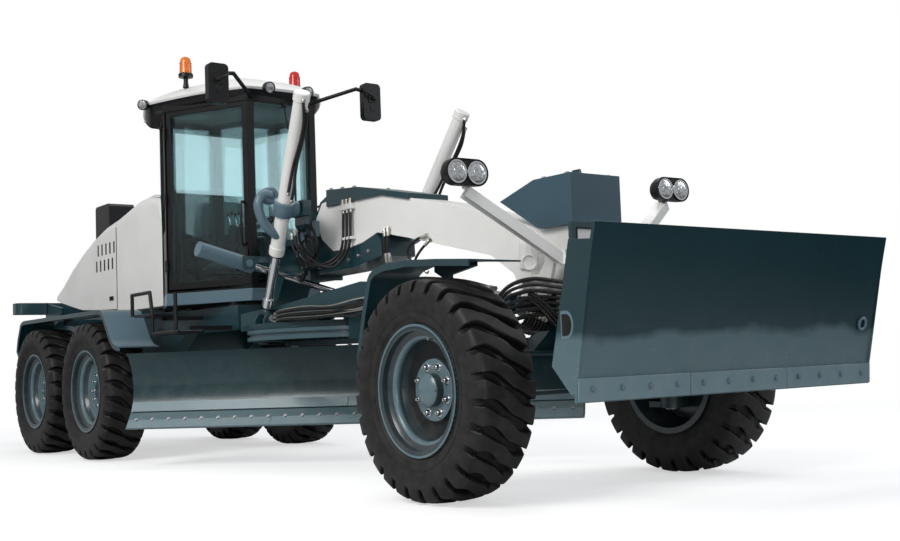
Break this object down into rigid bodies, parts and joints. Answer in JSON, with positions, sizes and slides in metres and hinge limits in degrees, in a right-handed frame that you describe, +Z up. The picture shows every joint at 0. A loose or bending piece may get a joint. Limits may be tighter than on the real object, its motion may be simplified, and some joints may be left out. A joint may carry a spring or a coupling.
{
  "type": "motor grader",
  "caption": "Articulated motor grader: arched front frame, leaning steered axle, rotating angled moldboard under the boom, front dozer blade, glazed cab and engine hood on a tandem rear.",
  "frame": {"origin": "on the ground, on the centre plane, halfway between the dozer blade's lip and the rear bumper", "axes": "+X forward, +Y to the machine's left, +Z up"},
  "size_m": [10.43, 2.7455, 3.7996],
  "materials": {
    "body_teal": "satin industrial paint, dark blue-green",
    "body_white": "semi-gloss white paint",
    "rim_grey": "blue-grey wheel paint",
    "cab_black": "matt black",
    "seat_fabric": "dark woven upholstery",
    "step_steel": "black powder coat",
    "rod_chrome": "polished hard chrome",
    "cab_glass": "greenish safety glass",
    "tyre_rubber": "worn black rubber"
  },
  "bodies": {
    "rear_frame": {"rear_frame": "body_teal", "tandem_drive": "body_teal", "rear_fenders": "body_teal", "cab_shell": "body_teal", "cab_roof": "body_white", "cab_glass": "cab_glass", "seat": "seat_fabric", "steering_column": "cab_black", "cowl": "body_white", "engine": "body_teal", "access_steps": "step_steel", "mirrors": "cab_black", "cab_lamps": "cab_black"},
    "hood": {"hood": "body_white", "intake_box": "body_white"},
    "door_right": {"door_right": "cab_black", "door_right_glass": "cab_glass"},
    "door_left": {"door_left": "cab_black", "door_left_glass": "cab_glass"},
    "front_frame": {"boom": "body_white", "saddle": "body_teal", "ballast_box": "body_teal", "headlamps": "cab_black", "front_axle": "body_teal", "dozer_mount": "body_teal"},
    "lean_yoke_right": {"lean_yoke_right": "body_teal"},
    "knuckle_right": {"knuckle_right": "body_teal", "front_fender_right": "body_teal"},
    "lean_yoke_left": {"lean_yoke_left": "body_teal"},
    "knuckle_left": {"knuckle_left": "body_teal", "front_fender_left": "body_teal"},
    "wheel_front_right": {"tyre_front_right": "tyre_rubber", "rim_front_right": "rim_grey"},
    "wheel_front_left": {"tyre_front_left": "tyre_rubber", "rim_front_left": "rim_grey"},
    "wheel_middle_right": {"tyre_middle_right": "tyre_rubber", "rim_middle_right": "rim_grey"},
    "wheel_middle_left": {"tyre_middle_left": "tyre_rubber", "rim_middle_left": "rim_grey"},
    "wheel_rear_right": {"tyre_rear_right": "tyre_rubber", "rim_rear_right": "rim_grey"},
    "wheel_rear_left": {"tyre_rear_left": "tyre_rubber", "rim_rear_left": "rim_grey"},
    "tie_rod": {"tie_rod": "body_teal"},
    "lean_bar": {"lean_bar": "body_teal"},
    "drawbar": {"drawbar": "body_teal"},
    "circle": {"circle": "body_teal"},
    "blade_carrier": {"blade_carrier": "body_teal"},
    "moldboard": {"moldboard": "body_teal"},
    "lift_barrel_right": {"lift_barrel_right": "body_white"},
    "lift_rod_right": {"lift_rod_right": "rod_chrome"},
    "lift_barrel_left": {"lift_barrel_left": "body_white"},
    "lift_rod_left": {"lift_rod_left": "rod_chrome"},
    "swing_barrel": {"swing_barrel": "body_teal"},
    "swing_rod": {"swing_rod": "rod_chrome"},
    "dozer_arms": {"dozer_arms": "body_teal"},
    "dozer_links": {"dozer_links": "body_teal"},
    "dozer_blade": {"dozer_blade": "body_teal"},
    "dozer_barrel": {"dozer_barrel": "body_teal"},
    "dozer_rod": {"dozer_rod": "rod_chrome"}
  },
  "joints": [
    {"name": "articulation", "type": "hinge", "parent": "rear_frame", "child": "front_frame", "pos_m": [0.425, 0, 1.7], "axis": [0, 0, 1], "range_deg": [-20, 20]},
    {"name": "wheel_lean", "type": "hinge", "parent": "front_frame", "child": "lean_yoke_right", "pos_m": [3.675, -0.84, 0.6], "axis": [-1, 0, 0], "range_deg": [-17, 17]},
    {"name": "wheel_lean_left", "type": "hinge", "parent": "front_frame", "child": "lean_yoke_left", "pos_m": [3.675, 0.84, 0.6], "axis": [-1, 0, 0], "range_deg": [-17, 17]},
    {"name": "lean_bar_slide", "type": "slide", "parent": "front_frame", "child": "lean_bar", "axis": [0, 1, 0], "range_m": [-0.1, 0.1]},
    {"name": "steering", "type": "hinge", "parent": "lean_yoke_right", "child": "knuckle_right", "pos_m": [3.675, -0.94, 0.6], "axis": [0, 0, 1], "range_deg": [-40, 40]},
    {"name": "steering_left", "type": "hinge", "parent": "lean_yoke_left", "child": "knuckle_left", "pos_m": [3.675, 0.94, 0.6], "axis": [0, 0, 1], "range_deg": [-40, 40]},
    {"name": "tie_rod_slide", "type": "slide", "parent": "front_frame", "child": "tie_rod", "axis": [0, 1, 0], "range_m": [-0.14, 0.14]},
    {"name": "wheel_front_right_spin", "type": "hinge", "parent": "knuckle_right", "child": "wheel_front_right", "pos_m": [3.675, -1.072, 0.665], "axis": [0, 1, 0], "continuous": true},
    {"name": "wheel_front_left_spin", "type": "hinge", "parent": "knuckle_left", "child": "wheel_front_left", "pos_m": [3.675, 1.072, 0.665], "axis": [0, 1, 0], "continuous": true},
    {"name": "wheel_middle_right_spin", "type": "hinge", "parent": "rear_frame", "child": "wheel_middle_right", "pos_m": [-1.823, -1.072, 0.665], "axis": [0, 1, 0], "continuous": true},
    {"name": "wheel_middle_left_spin", "type": "hinge", "parent": "rear_frame", "child": "wheel_middle_left", "pos_m": [-1.823, 1.072, 0.665], "axis": [0, 1, 0], "continuous": true},
    {"name": "wheel_rear_right_spin", "type": "hinge", "parent": "rear_frame", "child": "wheel_rear_right", "pos_m": [-3.367, -1.072, 0.665], "axis": [0, 1, 0], "continuous": true},
    {"name": "wheel_rear_left_spin", "type": "hinge", "parent": "rear_frame", "child": "wheel_rear_left", "pos_m": [-3.367, 1.072, 0.665], "axis": [0, 1, 0], "continuous": true},
    {"name": "drawbar_lift", "type": "hinge", "parent": "front_frame", "child": "drawbar", "pos_m": [3.29, 0, 1.19], "axis": [0, -1, 0], "range_deg": [-2.2, 4.8]},
    {"name": "lift_trunnion_right", "type": "hinge", "parent": "front_frame", "child": "lift_barrel_right", "pos_m": [1.11085, -0.66947, 2.1], "axis": [-0.2032, -0.9791, 0.0031], "range_deg": [-3.2, 6.7]},
    {"name": "lift_rod_right_slide", "type": "slide", "parent": "lift_barrel_right", "child": "lift_rod_right", "axis": [-0.5379, 0.1081, -0.8361], "range_m": [-0.1, 0.2]},
    {"name": "lift_trunnion_left", "type": "hinge", "parent": "front_frame", "child": "lift_barrel_left", "pos_m": [1.11085, 0.66947, 2.1], "axis": [0.2032, -0.9791, -0.0031], "range_deg": [-3.2, 6.7]},
    {"name": "lift_rod_left_slide", "type": "slide", "parent": "lift_barrel_left", "child": "lift_rod_left", "axis": [-0.5379, -0.1081, -0.8361], "range_m": [-0.1, 0.2]},
    {"name": "swing_trunnion", "type": "hinge", "parent": "front_frame", "child": "swing_barrel", "pos_m": [0.67, -0.8, 1.69], "axis": [-0.999, 0.0147, 0.0421], "range_deg": [-4.4, 9.5]},
    {"name": "swing_rod_slide", "type": "slide", "parent": "swing_barrel", "child": "swing_rod", "axis": [0, 0.9658, -0.2591], "range_m": [-0.035, 0.07]},
    {"name": "circle_turn", "type": "hinge", "parent": "drawbar", "child": "circle", "pos_m": [0.875, 0, 1.125], "axis": [0, 0, 1], "continuous": true},
    {"name": "blade_pitch", "type": "hinge", "parent": "circle", "child": "blade_carrier", "pos_m": [0.724, 0.174, 0.54], "axis": [-0.7547, -0.6561, 0], "range_deg": [-35, 5]},
    {"name": "blade_side_shift", "type": "slide", "parent": "blade_carrier", "child": "moldboard", "axis": [0.7547, 0.6561, 0], "range_m": [-0.5, 0.5]},
    {"name": "hood_tilt", "type": "hinge", "parent": "rear_frame", "child": "hood", "pos_m": [-4.38, 0, 1.64], "axis": [0, -1, 0], "range_deg": [0, 50]},
    {"name": "door_right_hinge", "type": "hinge", "parent": "rear_frame", "child": "door_right", "pos_m": [-0.93, -0.797, 2.4], "axis": [0, 0, -1], "range_deg": [0, 85]},
    {"name": "door_left_hinge", "type": "hinge", "parent": "rear_frame", "child": "door_left", "pos_m": [-0.93, 0.797, 2.4], "axis": [0, 0, 1], "range_deg": [0, 85]},
    {"name": "dozer_lift", "type": "hinge", "parent": "front_frame", "child": "dozer_arms", "pos_m": [4.2, 0, 0.8], "axis": [0, 1, 0], "range_deg": [0, 56]},
    {"name": "dozer_link_turn", "type": "hinge", "parent": "front_frame", "child": "dozer_links", "pos_m": [4.2, 0, 1.1], "axis": [0, 1, 0], "range_deg": [0, 56]},
    {"name": "dozer_blade_level", "type": "hinge", "parent": "dozer_arms", "child": "dozer_blade", "pos_m": [4.72977, 0, 1.08168], "axis": [0, 1, 0], "range_deg": [-56, 0]},
    {"name": "dozer_barrel_turn", "type": "hinge", "parent": "front_frame", "child": "dozer_barrel", "pos_m": [4.18, 0, 1.49], "axis": [0, 1, 0], "range_deg": [0, 11]},
    {"name": "dozer_rod_slide", "type": "slide", "parent": "dozer_barrel", "child": "dozer_rod", "axis": [0.5441, 0, -0.839], "range_m": [0, 0.33]}
  ],
  "couplings": [
    {"joint": "wheel_lean_left", "follows": "wheel_lean", "ratio": 1},
    {"joint": "lean_bar_slide", "follows": "wheel_lean", "m_per_rad": 0.2562},
    {"joint": "steering_left", "follows": "steering", "ratio": 1},
    {"joint": "tie_rod_slide", "follows": "steering", "m_per_rad": -0.1622},
    {"joint": "lift_trunnion_right", "follows": "drawbar_lift", "ratio": 1.3462},
    {"joint": "lift_rod_right_slide", "follows": "drawbar_lift", "m_per_rad": 2.2976},
    {"joint": "lift_trunnion_left", "follows": "drawbar_lift", "ratio": 1.3462},
    {"joint": "lift_rod_left_slide", "follows": "drawbar_lift", "m_per_rad": 2.2976},
    {"joint": "swing_trunnion", "follows": "drawbar_lift", "ratio": 1.9299},
    {"joint": "swing_rod_slide", "follows": "drawbar_lift", "m_per_rad": 0.7872},
    {"joint": "dozer_link_turn", "follows": "dozer_lift", "ratio": 1},
    {"joint": "dozer_blade_level", "follows": "dozer_lift", "ratio": -1},
    {"joint": "dozer_barrel_turn", "follows": "dozer_lift", "ratio": 0.1875},
    {"joint": "dozer_rod_slide", "follows": "dozer_lift", "m_per_rad": 0.32}
  ]
}
